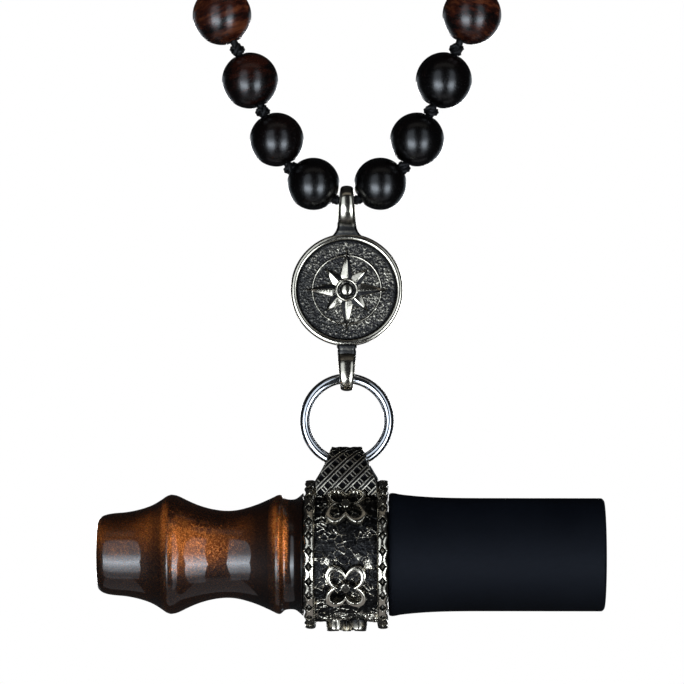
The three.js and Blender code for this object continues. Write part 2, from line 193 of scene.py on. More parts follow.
class Shell:
    """Collects grids of points, each a closed surface, into one mesh."""

    def __init__(self):
        self.points, self.faces, self.count = [], [], 0
        self.values = {}

    def add(self, grid, wrap_v=True, caps=False, flip=False, **values):
        nu, nv, _ = grid.shape
        faces = grid_faces(nu, nv, wrap_v, caps, self.count)
        if flip:
            faces = [face[::-1] for face in faces]
        self.points.append(grid.reshape(-1, 3))
        self.faces += faces
        self.count += nu * nv
        for key, value in values.items():
            rest = np.shape(value)[2:]
            value = np.broadcast_to(value, (nu, nv) + rest).reshape((nu * nv,) + rest)
            self.values.setdefault(key, []).append(value)
        return self

    def object(self, name, material, in_mm=True, sharp_deg=40):
        """One piece from all the grids, in millimetres round PENDANT or in the frame's metres."""
        points = np.concatenate(self.points)
        if in_mm:
            points = points * MM + np.array(PENDANT)
        values = {key: np.concatenate(parts) for key, parts in self.values.items()}
        return new_object(name, points, self.faces, material, values, sharp_deg)


def hermite(points, spacing):
    """A smooth line through (x, y) points."""
    p = np.array(points, dtype=float)
    step = np.linalg.norm(np.diff(p, axis=0), axis=1)
    slope = np.diff(p, axis=0) / step[:, None]
    tangent = np.vstack([slope[:1], (slope[:-1] + slope[1:]) / 2, slope[-1:]])
    out = []
    for i, length in enumerate(step):
        count = max(2, int(length / spacing))
        out += [between(p[i], p[i + 1], length * tangent[i], length * tangent[i + 1], t)
                for t in np.arange(count) / count]
    out.append(p[-1])
    return [tuple(q) for q in out]


def evenly(points, count=None, spacing=None, closed=False):
    """Evenly spaced places along a line: the points, and how far along it each is."""
    p = np.array([tuple(q) for q in points], dtype=float)
    run = np.concatenate([[0], np.cumsum(np.linalg.norm(np.diff(p, axis=0), axis=1))])
    count = count or int(run[-1] / spacing) + (not closed)
    at = np.arange(count) * run[-1] / count if closed else np.linspace(0, run[-1], count)
    return np.stack([np.interp(at, run, column) for column in p.T], -1), at


def wrapped(angle):
    """The same angle within half a turn of zero."""
    return (angle + math.pi) % TAU - math.pi


def softened(outline, spacing, sigma):
    """A closed outline with its corners eased: resampled evenly, then blurred along its length."""
    even, _ = evenly([*outline, outline[0]], spacing=spacing, closed=True)
    reach = int(3 * sigma / spacing) + 1
    kernel = np.exp(-0.5 * (np.arange(-reach, reach + 1) * spacing / sigma) ** 2)
    kernel /= kernel.sum()
    eased = sum(w * np.roll(even, k, 0) for w, k in zip(kernel, range(-reach, reach + 1)))
    return thinned(eased)


def thinned(line, turn_deg=1.2, longest=1.5):
    """Drops points along straight stretches of a closed line."""
    kept = [line[0]]
    heading = None
    for before, here in zip(line[:-1], line[1:]):
        way = math.atan2(*(here - before)[::-1])
        if heading is None:
            heading = way
        turned = abs(wrapped(way - heading))
        if turned > math.radians(turn_deg) or np.linalg.norm(before - kept[-1]) > longest:
            kept.append(before)
            heading = way
    return np.array(kept)


def angles_round(count):
    return np.arange(count) * TAU / count


def turned_grid(outline, sides):
    """A closed (x, radius) outline turned round the X axis."""
    angle = angles_round(sides)
    x = np.broadcast_to(outline[:, 0], (sides, len(outline)))
    r = outline[:, 1]
    return np.stack([x, -np.outer(np.sin(angle), r), np.outer(np.cos(angle), r)], -1)


def unit(vectors):
    return vectors / np.linalg.norm(vectors, axis=-1, keepdims=True)


def smoothstep(low, high, value):
    t = np.clip((value - low) / (high - low), 0, 1)
    return t * t * (3 - 2 * t)


def noise_at(points, scale, seed=0.0):
    shift = Vector((seed, seed * 1.7, -seed * 2.3))
    return np.array([noise.noise(Vector(p) * scale + shift) for p in points])


# ---- materials

class Nodes:
    """Short names for building a node tree."""

    def __init__(self, tree):
        self.tree = tree

    def set(self, node, socket, value):
        target = node.inputs[socket]
        if isinstance(value, bpy.types.NodeSocket):
            self.tree.links.new(value, target)
        else:
            target.default_value = value

    def add(self, kind, settings=None, **inputs):
        node = self.tree.nodes.new(f"ShaderNode{kind}")
        for key, value in (settings or {}).items():
            setattr(node, key, value)
        for key, value in inputs.items():
            self.set(node, key.replace("_", " "), value)
        return node

    def fed(self, node, *values):
        """Gives a node its inputs in order, and returns its first output."""
        for socket, value in enumerate(values):
            self.set(node, socket, value)
        return node.outputs[0]

    def math(self, operation, *values, clamp=False):
        return self.fed(self.add("Math", {"operation": operation, "use_clamp": clamp}), *values)

    def vector_math(self, operation, *values, **inputs):
        return self.fed(self.add("VectorMath", {"operation": operation}, **inputs), *values)

    def ramp(self, factor, *stops):
        node = self.add("ValToRGB", Fac=factor)
        elements = node.color_ramp.elements
        while len(elements) < len(stops):
            elements.new(0.5)
        for element, (position, colour) in zip(elements, stops):
            element.position = position
            element.color = (*colour, 1)
        return node.outputs["Color"]

    def value_ramp(self, factor, *stops):
        return self.ramp(factor, *[(p, (v, v, v)) for p, v in stops])


class Material(Nodes):
    """A new material's nodes, with its shader and the object's coordinates at hand."""

    def __init__(self, name):
        self.material = bpy.data.materials.new(name)
        self.material.use_nodes = True
        super().__init__(self.material.node_tree)
        self.shader = self.tree.nodes["Principled BSDF"]
        self.coords = self.add("TexCoord").outputs["Object"]

    def shade(self, **inputs):
        for key, value in inputs.items():
            self.set(self.shader, key.replace("_", " "), value)

    def attribute(self, name, output="Fac"):
        return self.add("Attribute", {"attribute_name": name}).outputs[output]

    def noise(self, scale, detail=4, roughness=0.55, vector=None):
        node = self.add("TexNoise", Vector=vector or self.coords, Scale=scale, Detail=detail,
                        Roughness=roughness)
        return node.outputs["Fac"]

    def varied(self, base, noise, middle, amount, clamp=False):
        """The base, moved by how far the noise is from its middle."""
        off = self.math("MULTIPLY", self.math("SUBTRACT", noise, middle), amount)
        return self.math("ADD", base, off, clamp=clamp)

    def bump(self, height, distance, strength=1.0):
        node = self.add("Bump", Height=height, Distance=distance, Strength=strength)
        self.set(self.shader, "Normal", node.outputs["Normal"])


def pearl_lacquer():
    """Dark brown under a deep clear coat, with pearl flakes that glow orange where the light is high."""
    n = Material("pearl_lacquer")
    flakes = n.add("TexVoronoi", Vector=n.coords, Scale=5600.0).outputs["Color"]
    cloud = n.noise(90.0, detail=3)
    spread = n.add("SeparateColor", Color=flakes).outputs[0]
    tone = n.math("ADD", n.math("MULTIPLY", spread, 0.8), n.math("MULTIPLY", cloud, 0.25))
    n.shade(Base_Color=n.ramp(tone, (0.0, (0.009, 0.003, 0.002)), (0.6, (0.020, 0.007, 0.003)),
                              (1.0, (0.050, 0.018, 0.007))),
            Roughness=0.5, Specular_IOR_Level=0.12, Coat_Weight=1.0, Coat_Roughness=0.03, Coat_IOR=1.5)
    # Each flake leans its own way and is as bright as the body's glow factor, which carries painted shade
    # in its dips and painted glints on the ridges' crests.
    lean = n.vector_math("SCALE", n.vector_math("SUBTRACT", flakes, (0.5, 0.5, 0.5)), Scale=0.35)
    surface = n.add("NewGeometry").outputs["Normal"]
    normal = n.vector_math("NORMALIZE", n.vector_math("ADD", surface, lean))
    glow = n.ramp(tone, (0.0, (0.16, 0.043, 0.007)), (0.6, (0.42, 0.118, 0.020)),
                  (0.95, (0.80, 0.26, 0.055)))
    colour = n.vector_math("SCALE", glow, Scale=n.attribute("pearl"))
    pearl = n.add("BsdfToon", {"component": "DIFFUSE"}, Size=0.04, Smooth=0.30, Normal=normal, Color=colour)
    both = n.fed(n.add("AddShader"), n.shader.outputs[0], pearl.outputs[0])
    n.set(n.tree.nodes["Material Output"], "Surface", both)
    return n.material


def soft_touch_rubber():
    n = Material("soft_touch_rubber")
    grain = n.noise(4200.0, detail=2)
    cloud = n.noise(90.0, detail=4)
    n.shade(Base_Color=n.ramp(cloud, (0.3, (0.0036, 0.0055, 0.011)), (0.7, (0.0052, 0.0076, 0.0145))),
            Roughness=n.value_ramp(cloud, (0.3, 0.58), (0.7, 0.68)), Specular_IOR_Level=0.10)
    n.bump(grain, 0.00003, 0.6)
    return n.material


def antique_silver():
    """Cast metal, polished where it stands proud and black with oxide where it is sunk. On the medallion's
    compass rose and necks the same value also carries painted highlight and shade.
    """
    n = Material("antique_silver")
    wear = n.noise(1500.0, detail=5, roughness=0.65)
    patch = n.noise(260.0, detail=3)
    proud = n.varied(n.varied(n.attribute("proud"), wear, 0.38, 0.5), patch, 0.43, 0.35, clamp=True)
    n.shade(Base_Color=n.ramp(proud, (0.10, (0.0085, 0.0085, 0.0095)), (0.42, (0.032, 0.031, 0.030)),
                              (0.72, (0.21, 0.19, 0.155)), (1.0, (0.66, 0.605, 0.50))),
            Roughness=n.value_ramp(proud, (0.0, 0.45), (0.5, 0.36), (1.0, 0.15)), Metallic=1.0)
    n.bump(wear, 0.00004, 0.5)
    return n.material


def steel(name, stretch, scale, detail, colours, roughness, bump):
    """Polished or drawn steel, with fine marks that run across the stretch."""
    n = Material(name)
    along = n.add("Mapping", Vector=n.coords, Scale=stretch)
    marks = n.noise(scale, detail=detail, vector=along.outputs["Vector"])
    n.shade(Base_Color=n.ramp(marks, *colours), Metallic=1.0, Roughness=n.value_ramp(marks, *roughness))
    n.bump(marks, *bump)
    return n.material


def ring_steel():
    return steel("ring_steel", (1.0, 9.0, 1.0), 1400.0, 3,
                 [(0.3, (0.66, 0.67, 0.70)), (0.7, (0.78, 0.79, 0.81))],
                 [(0.3, 0.07), (0.75, 0.14)], (0.00001, 0.3))


def liner_steel():
    return steel("liner_steel", (14.0, 1.0, 1.0), 900.0, 2,
                 [(0.3, (0.50, 0.50, 0.51)), (0.7, (0.63, 0.63, 0.64))],
                 [(0.3, 0.22), (0.7, 0.38)], (0.00002, 0.4))


def dark_wood():
    """Oiled, polished ebony. Each bead carries its own grain place and warmth."""
    n = Material("dark_wood")
    place = n.attribute("grain", "Vector")
    warmth = n.attribute("warmth")
    along = n.add("Mapping", Vector=place, Scale=(1.0, 0.16, 0.45))
    bands = n.noise(0.34, detail=3, roughness=0.6, vector=along.outputs["Vector"])
    streaks = n.noise(1.5, detail=3, roughness=0.6, vector=along.outputs["Vector"])
    stretched = n.add("Mapping", Vector=place, Scale=(1.0, 0.35, 1.0))
    pores = n.noise(4.2, detail=4, roughness=0.7, vector=stretched.outputs["Vector"])
    figure = n.varied(bands, streaks, 0.5, 0.5)
    figure = n.math("MULTIPLY", n.math("SUBTRACT", figure, 0.25), 2.6, clamp=True)
    figure = n.varied(n.math("MULTIPLY", figure, warmth), pores, 0.5, 0.28, clamp=True)
    n.shade(Base_Color=n.ramp(figure, (0.0, (0.0018, 0.0015, 0.0018)), (0.3, (0.0065, 0.0028, 0.0026)),
                              (0.65, (0.080, 0.018, 0.009)), (1.0, (0.27, 0.080, 0.030))),
            Roughness=n.value_ramp(pores, (0.3, 0.19), (0.7, 0.29)), Specular_IOR_Level=0.5,
            Coat_Weight=0.15, Coat_Roughness=0.12)
    n.bump(pores, 0.00006, 0.35)
    return n.material


def waxed_string():
    n = Material("waxed_string")
    fibre = n.noise(5200.0, detail=4, roughness=0.7)
    n.shade(Base_Color=n.ramp(fibre, (0.3, (0.003, 0.003, 0.004)), (0.75, (0.012, 0.013, 0.015))),
            Roughness=n.value_ramp(fibre, (0.3, 0.45), (0.7, 0.65)), Specular_IOR_Level=0.25)
    n.bump(fibre, 0.00005, 0.7)
    return n.material


# ---- mouthpiece: body, liner, sleeve

TURNED_SIDES = 144
# The body's outside as (x, radius), in three smooth stretches that meet at crisp ridges.
BODY_TIP_TO_RIDGE = [(-45.95, 6.5), (-45.3, 7.05), (-44.3, 7.4), (-43.2, 7.58), (-41, 7.78),
                     (-38.7, 8.22), (-36.5, 8.92), (-35.4, 9.46), (-34.3, 10.15), (-33.35, 10.8),
                     (-32.7, 11.04)]
BODY_RIDGE_TO_RIDGE = [(-32.5, 11.05), (-31.85, 10.96), (-31.2, 10.76), (-30.5, 10.44), (-29.5, 9.94),
                       (-27.5, 9.1), (-25.5, 8.5), (-23.6, 8.16), (-21.9, 8.06), (-20.2, 8.22),
                       (-18.4, 8.66), (-16.6, 9.26), (-14.6, 10.12), (-12.9, 10.95)]
BODY_NECK = [(-12.4, 11.05), (-12.1, 10.9), (-11.5, 10.35), (-11, 10.2), (-10, 10.16),
             (-9.4, 10.3), (-8.8, 10.72), (-8.1, 11.35)]
# The pearl's brightness along the body, as (x, factor): painted shade in the dips, where the ridges and the
# collar's flange would shadow the body, and painted glints on the ridges' crests.
PEARL_PAINTED_LIGHT_AND_SHADE = [(-45.5, 0.95), (-44, 0.85), (-39, 0.9), (-37.3, 1.15), (-36.4, 1.1), (-35.4, 0.6),
               (-34.1, 0.5), (-33.4, 2.3), (-32.9, 2.1), (-32.3, 1.15), (-31, 1.08), (-29.9, 0.78),
               (-28.5, 0.84), (-25.5, 0.92), (-24.3, 0.88), (-22.5, 1), (-21, 1), (-19.8, 0.85),
               (-18.7, 0.52), (-17.6, 0.34), (-16.5, 0.07), (-13.75, 0), (-13.4, 2.8), (-12.9, 2.8),
               (-12.4, 2.1), (-12.1, 0.9), (-11.6, 0.9), (-11.3, 1.6), (-10.9, 1.7), (-10.4, 0)]
BODY_TIP_R = 5.9
BODY_FLANGE_X, BODY_FLANGE_R = -8.0, 11.35
BODY_SHOULDER_X, BODY_SHOULDER_R = -6.9, 10.2
COLLAR_SEAT_R = 9.6
COLLAR_SEAT_END_X = 7.4
SPIGOT_R = 7.9
BARBS_X = (12, 17, 22)
BARB_RISE = 0.25
BARB_LENGTH = 2.4
BODY_BORE_R = 4.9
LINER_WALL = 0.5
SLEEVE_SPIGOT_BORE_R = 8.25
SLEEVE_STEP_X = 27
HOSE_SOCKET_R = 7.1
SLEEVE_R = 10.45
SLEEVE_FLARE = [(7.76, 11.2), (8.3, 11.4), (9.8, 11.15), (12.0, 10.9), (14.2, 10.72), (16.4, 10.6),
                (18.7, 10.52), (22.0, 10.47), (30.0, SLEEVE_R)]


def mouth_body(material):
    tip = BODY_LOW.x
    spigot_end = BODY_HIGH.x
    outline = [(tip, BODY_BORE_R + 0.35), (tip, BODY_TIP_R)]
    outline += hermite(BODY_TIP_TO_RIDGE, 0.3)
    outline += hermite(BODY_RIDGE_TO_RIDGE, 0.3)
    outline += hermite(BODY_NECK, 0.2)
    outline += [(BODY_FLANGE_X, BODY_FLANGE_R), (BODY_FLANGE_X, BODY_SHOULDER_R),
                (BODY_SHOULDER_X, BODY_SHOULDER_R), (BODY_SHOULDER_X, COLLAR_SEAT_R),
                (COLLAR_SEAT_END_X, COLLAR_SEAT_R), (COLLAR_SEAT_END_X, SPIGOT_R)]
    for x in BARBS_X:
        outline += [(x, SPIGOT_R), (x + BARB_LENGTH, SPIGOT_R + BARB_RISE), (x + BARB_LENGTH, SPIGOT_R)]
    outline += [(spigot_end, SPIGOT_R), (spigot_end, BODY_BORE_R), (tip + 0.6, BODY_BORE_R)]
    outline = softened(outline, 0.06, 0.09)
    # The glow factor paints shade and glints along the body.
    pearl = np.interp(outline[:, 0], *np.transpose(PEARL_PAINTED_LIGHT_AND_SHADE))
    shell = Shell().add(turned_grid(outline, TURNED_SIDES), pearl=pearl[None])
    piece = shell.object("mouthpiece_body_turned", material, sharp_deg=60)
    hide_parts("mouth_body")
    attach(piece, "mouthpiece")


def liner_tube(material):
    outer = LINER_HIGH.z
    inner = outer - LINER_WALL
    outline = [(LINER_LOW.x, inner), (LINER_LOW.x, outer), (LINER_HIGH.x, outer), (LINER_HIGH.x, inner)]
    shell = Shell().add(turned_grid(softened(outline, 0.04, 0.08), TURNED_SIDES))
    piece = shell.object("airway_liner", material, sharp_deg=60)
    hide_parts("liner_tube")
    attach(piece, "mouthpiece")


def connector_sleeve(material):
    end = SLEEVE_END_X
    outline = [(SLEEVE_FLARE[0][0], SLEEVE_SPIGOT_BORE_R)]
    outline += hermite(SLEEVE_FLARE, 0.4)
    outline += [(end - 0.45, SLEEVE_R), (end, SLEEVE_R - 0.45), (end, HOSE_SOCKET_R + 0.5),
                (end - 0.6, HOSE_SOCKET_R),
                (SLEEVE_STEP_X, HOSE_SOCKET_R), (SLEEVE_STEP_X, SLEEVE_SPIGOT_BORE_R)]
    shell = Shell().add(turned_grid(softened(outline, 0.08, 0.16), TURNED_SIDES))
    piece = shell.object("hose_sleeve_soft", material, sharp_deg=60)
    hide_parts("connector_sleeve")
    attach(piece, "sleeve")


# ---- collar

COLLAR_STEPS_ROUND = 1100
COLLAR_STEPS_ALONG = 170
COLLAR_HALF = 7.7
COLLAR_TUBE_HALF = 7.4
COLLAR_BORE_R = 9.9
COLLAR_COUNTERBORE_R = 10.5
COLLAR_STEP_X = -6.6
COLLAR_FACE_R = 12.9
PANEL_R = 12.5
PANEL_SINK = 0.18
VEIN_RISE = 0.13
RIM_IN_X = 5.75
RIM_R = 13.75
RIM_BACK_R = 13.2
RIM_WAVE = 0.26
DIAMONDS = 30
DIAMOND_HALF = (0.74, 0.96)
DIAMOND_PHASE = 0.5
DIAMOND_SINK, STUD_RISE = 0.42, 0.40
CRACK_CELL = 1.05
CRACK_STEP, CRACK_TILT = 0.05, 0.07
MOTIF_ANGLES_DEG = (45, -22.5, -90, -157.5, 135)
MOTIF_R = 14.2
MOTIF_LOBE_OFFSET = 2.3
MOTIF_LOBE_R = 2.3
MOTIF_LINE = 1.1
MOTIF_STRETCH = 1.15
# The panel's rough, fine and patchy noises, as (scale, seed).
COLLAR_NOISES = ((1.9, 3.0), (4.5, 9.0), (0.45, 5.0))


def motif_height(x, arc):
    """How much of the raised four-lobed ornament stands at each place, from 0 to 1."""
    across, along = x, arc / MOTIF_STRETCH
    reach = np.hypot(across, along)
    angle = np.arctan2(along, across)
    outline = MOTIF_LOBE_OFFSET * np.abs(np.sin(2 * angle)) + MOTIF_LOBE_R
    ring = np.abs(outline - MOTIF_LINE / 2 - reach)
    raised = 1 - 0.06 * (ring / (MOTIF_LINE / 2)) ** 2
    raised = raised * (1 - smoothstep(MOTIF_LINE * 0.42, MOTIF_LINE * 0.60, ring))
    boss = 1 - smoothstep(0.78, 0.95, reach)
    return np.maximum(raised, boss)


def crackle(x, angle):
    """Cracked-stone relief: each cell has its own tilt and a few cell edges stand proud."""
    rng = np.random.default_rng(7)
    count = int(2 * RIM_IN_X * TAU * PANEL_R / CRACK_CELL ** 2)
    seeds_x = rng.uniform(-RIM_IN_X, RIM_IN_X, count)
    seeds_a = rng.uniform(0, TAU, count)
    tilt = rng.normal(0, 1, (count, 2))
    level = rng.uniform(-1, 1, count)
    tree = kdtree.KDTree(count)
    for i in range(count):
        tree.insert((seeds_x[i], PANEL_R * math.cos(seeds_a[i]), PANEL_R * math.sin(seeds_a[i])), i)
    tree.balance()
    height, edge = np.zeros(len(x)), np.zeros(len(x))
    for k, (px, pa) in enumerate(zip(x, angle)):
        py, pz = PANEL_R * math.cos(pa), PANEL_R * math.sin(pa)
        (_, i, d1), (_, _, d2) = tree.find_n((px, py, pz), 2)
        across, along = px - seeds_x[i], wrapped(pa - seeds_a[i]) * PANEL_R
        height[k] = CRACK_STEP * level[i] + CRACK_TILT * (tilt[i, 0] * across + tilt[i, 1] * along)
        edge[k] = d2 - d1
    return height, edge


def collar_surface():
    """Radius, place along X and how proud the metal is, over the collar's outside."""
    angle = angles_round(COLLAR_STEPS_ROUND)
    x = np.linspace(-COLLAR_HALF, COLLAR_HALF, COLLAR_STEPS_ALONG)
    angle, x = (a.ravel() for a in np.meshgrid(angle, x, indexing="ij"))
    spots = np.stack([x, PANEL_R * np.cos(angle), PANEL_R * np.sin(angle)], -1)
    rough, fine, patchy = (noise_at(spots, *kind) for kind in COLLAR_NOISES)

    cells, edge = crackle(x, angle)
    lit = smoothstep(-0.30, 0.20, patchy + 0.5 * rough)
    vein = (1 - smoothstep(0.04, 0.16, edge)) * lit
    radius = PANEL_R - PANEL_SINK + cells + 0.05 * rough + 0.06 * fine + VEIN_RISE * vein
    proud = 0.15 + 0.82 * vein + 0.20 * np.clip(cells * 5, -0.3, 0.6) + 0.25 * fine

    for degrees in MOTIF_ANGLES_DEG:
        raised = motif_height(x, wrapped(angle - math.radians(degrees)) * MOTIF_R)
        radius = radius + raised * (MOTIF_R - radius)
        proud = proud * (1 - raised) + raised

    arc = angle * DIAMONDS / TAU + DIAMOND_PHASE
    turn = arc - np.round(arc)
    bulge = 0.5 + 0.5 * np.cos(TAU * turn)
    out_x = COLLAR_HALF - RIM_WAVE * (1 - bulge)
    over = np.clip((np.abs(x) - RIM_IN_X) / (COLLAR_HALF - RIM_IN_X), 0, 1)
    on_rim = smoothstep(RIM_IN_X - 0.14, RIM_IN_X + 0.02, np.abs(x))
    x = np.where(np.abs(x) > RIM_IN_X, np.sign(x) * (RIM_IN_X + over * (out_x - RIM_IN_X)), x)
    across = (np.abs(x) - (RIM_IN_X + COLLAR_HALF) / 2) / DIAMOND_HALF[0]
    diamond = np.abs(across) + np.abs(turn) * (TAU * RIM_R / DIAMONDS) / DIAMOND_HALF[1]
    sunk = 1 - smoothstep(0.88, 1.04, diamond)
    stud = np.clip(1 - diamond / 0.82, 0, 1)
    off_crown = 2 * over - 1
    rim = RIM_R + 0.05 * bulge - 0.22 * off_crown ** 2 - 0.12 * off_crown ** 8
    rim = rim - DIAMOND_SINK * sunk + STUD_RISE * stud + 0.02 * fine
    rim_proud = 0.98 - 0.85 * sunk + 0.45 * smoothstep(0.10, 0.6, stud) + 0.1 * rough
    radius = radius + on_rim * (rim - radius)
    proud = proud + on_rim * (rim_proud - proud)
    return angle, x, radius, np.clip(proud, 0, 1)


def collar_grid():
    angle, x, radius, proud = collar_surface()
    shape = (COLLAR_STEPS_ROUND, COLLAR_STEPS_ALONG)
    outside = np.stack([x, -radius * np.cos(angle), radius * np.sin(angle)], -1).reshape(*shape, 3)
    inside = [(COLLAR_HALF - 0.1, RIM_BACK_R), (COLLAR_TUBE_HALF, COLLAR_FACE_R), (COLLAR_TUBE_HALF, 12.0),
              (COLLAR_TUBE_HALF, COLLAR_BORE_R + 0.3), (COLLAR_TUBE_HALF - 0.3, COLLAR_BORE_R),
              (0, COLLAR_BORE_R), (COLLAR_STEP_X, COLLAR_BORE_R), (COLLAR_STEP_X, COLLAR_COUNTERBORE_R),
              (-COLLAR_TUBE_HALF, COLLAR_COUNTERBORE_R), (-COLLAR_TUBE_HALF, 12.0),
              (-COLLAR_TUBE_HALF, COLLAR_FACE_R), (-COLLAR_HALF + 0.1, RIM_BACK_R)]
    turn = angle.reshape(shape)[:, :1]
    wave = RIM_WAVE * (0.5 - 0.5 * np.cos(turn * DIAMONDS + TAU * DIAMOND_PHASE))
    columns = []
    for px, r in inside:
        px = np.sign(px) * (abs(px) - wave * (r == RIM_BACK_R))
        columns.append(np.stack([px, -r * np.cos(turn), r * np.sin(turn)], -1))
    grid = np.concatenate([outside, *columns], 1)
    plain = np.full((COLLAR_STEPS_ROUND, len(inside)), 0.55)
    return grid, np.concatenate([proud.reshape(shape), plain], 1)


# Half of the bail's arch as (y, z), then its half-widths along X as (z, half-width).
BAIL_PATH = [(-6.15, 11.3), (-6.1, 12.6), (-5.75, 14.3), (-5.05, 16.1), (-4.0, 17.8), (-2.5, 19.15),
             (-0.9, 19.85)]
BAIL_WIDTHS = [(11.3, 5.9), (13.4, 5.85), (14.1, 5.7), (15.3, 5.0), (16.5, 4.35), (18.3, 3.65),
               (19.4, 3.25), (20.0, 3.0)]
BAIL_STEPS = 260
BAIL_ACROSS = 150
BAIL_FLOOR = 0.32
BAIL_THICK = 1.62
LATTICE_PITCH = 1.95
LATTICE_SLOPE = math.radians(47)
BAND_HALF = 0.46
LINE_HALF = 0.14
# How far the over and under bands stand up, and their lines above them.
OVER_RISE, UNDER_RISE = (0.20, 0.09), (0.13, 0.07)


def lattice(x, run):
    """Woven double lines: the rising bands pass over the falling ones."""
    def band(place):
        off = np.abs(place / LATTICE_PITCH - np.round(place / LATTICE_PITCH)) * LATTICE_PITCH
        line = np.exp(-((off - BAND_HALF * 0.68) / LINE_HALF) ** 2)
        body = 1 - smoothstep(BAND_HALF, BAND_HALF + 0.12, off)
        return line, body
    cos, sin = math.cos(LATTICE_SLOPE), math.sin(LATTICE_SLOPE)
    over_line, over_body = band(x * sin - run * cos + 0.6)
    under_line, under_body = band(x * sin + run * cos + 0.4)
    over = OVER_RISE[0] * over_body + OVER_RISE[1] * over_line
    under = UNDER_RISE[0] * under_body + UNDER_RISE[1] * under_line
    height = np.maximum(over, under)
    proud = np.maximum(over_line * over_body, 0.85 * under_line * under_body * (1 - over_body))
    proud = np.maximum(proud, 0.15 * over_body)
    return height, proud


def bail_grid():
    """The bail's arch. Its underside is hollowed at the top, where the ring's curve sits."""
    half = BAIL_PATH + [(0, BAIL_TOP)]
    path, at = evenly(hermite([*half, *[(-y, z) for y, z in half[-2::-1]]], 0.05), BAIL_STEPS)
    y, z = path.T
    way = unit(np.stack([np.gradient(y), np.gradient(z)], -1))
    out_y, out_z = -way[:, 1], way[:, 0]
    half_width = np.interp(z, *np.transpose(BAIL_WIDTHS))
    u = np.linspace(-1, 1, BAIL_ACROSS)
    x = np.outer(half_width, u)
    height, proud = lattice(x, (at - at[-1] / 2)[:, None])
    edge = smoothstep(1.0, 0.93, np.abs(u))[None, :]
    border = np.exp(-((np.abs(x) - half_width[:, None] + 0.32) / 0.16) ** 2)
    height = np.maximum(height, 0.26 * border) * edge
    proud = np.maximum(proud, 0.75 * border)
    lift = height - BAIL_FLOOR - 0.25 * (1 - edge)
    curve = RING_R - np.sqrt(RING_R ** 2 - np.minimum(np.abs(x), RING_R - 1) ** 2)
    top = smoothstep(17.4, 19.6, z)[:, None]
    thick = BAIL_THICK - top * np.minimum(curve, 0.75)

    def skin(x, away):
        return np.stack([x, y[:, None] + out_y[:, None] * away, z[:, None] + out_z[:, None] * away], -1)
    grid = np.concatenate([skin(x, lift), skin(x * 0.985, -thick)[:, ::-1]], 1)
    return grid, np.concatenate([proud, np.full(proud.shape, 0.3)], 1)


def collar(material):
    grid, proud = collar_grid()
    shell = Shell().add(grid, proud=proud)
    grid, proud = bail_grid()
    shell.add(grid.transpose(1, 0, 2), wrap_v=False, caps=True, flip=True, proud=proud.T)
    piece = shell.object("collar_cast", material, sharp_deg=50)
    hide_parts("collar")
    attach(piece, "collar")


# ---- jump ring

def jump_ring(material):
    a, b = angles_round(260)[:, None], angles_round(40)[None, :]
    r = RING_R + WIRE_R * np.cos(b)
    grid = np.stack([r * np.sin(a), WIRE_R * np.sin(b) + 0 * a, r * np.cos(a)], -1) + np.array(RING_CENTRE)
    piece = Shell().add(grid).object("jump_ring_wire", material)
    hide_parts("jump_ring")
    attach(piece, "ring")


# ---- medallion

# The disc's centre above the mouthpiece's axis; its two loops are of different heights.
MEDALLION_Z = 49.0
MEDALLION_HALF = 1.5
FIELD_R = 9.1
FIELD_DEPTH = 0.6
FIELD_NOISES = ((2.9, 1.0), (6.5, 2.0), (0.35, 8.0))
MEDALLION_STEPS_ROUND = 720
# The rim from the field's edge over the front to the back, as (radius, y).
RIM_BEVEL = [(9.18, -1.05), (9.3, -1.36), (9.55, -1.5), (9.85, -1.52), (10.15, -1.42), (10.34, -1.2),
             (MEDALLION_R, -0.8), (MEDALLION_R, 0.9), (10.3, 1.28), (10.0, 1.47)]
STAR_RAYS = 8
STAR_LONG, STAR_SHORT = 7.6, 5.6
STAR_WAIST_AT, STAR_WAIST_HALF = 2.6, 1.3
STAR_RISE, STAR_EDGE_RISE = 0.42, 0.16
BOSS_R, BOSS_RISE = 1.25, 0.55


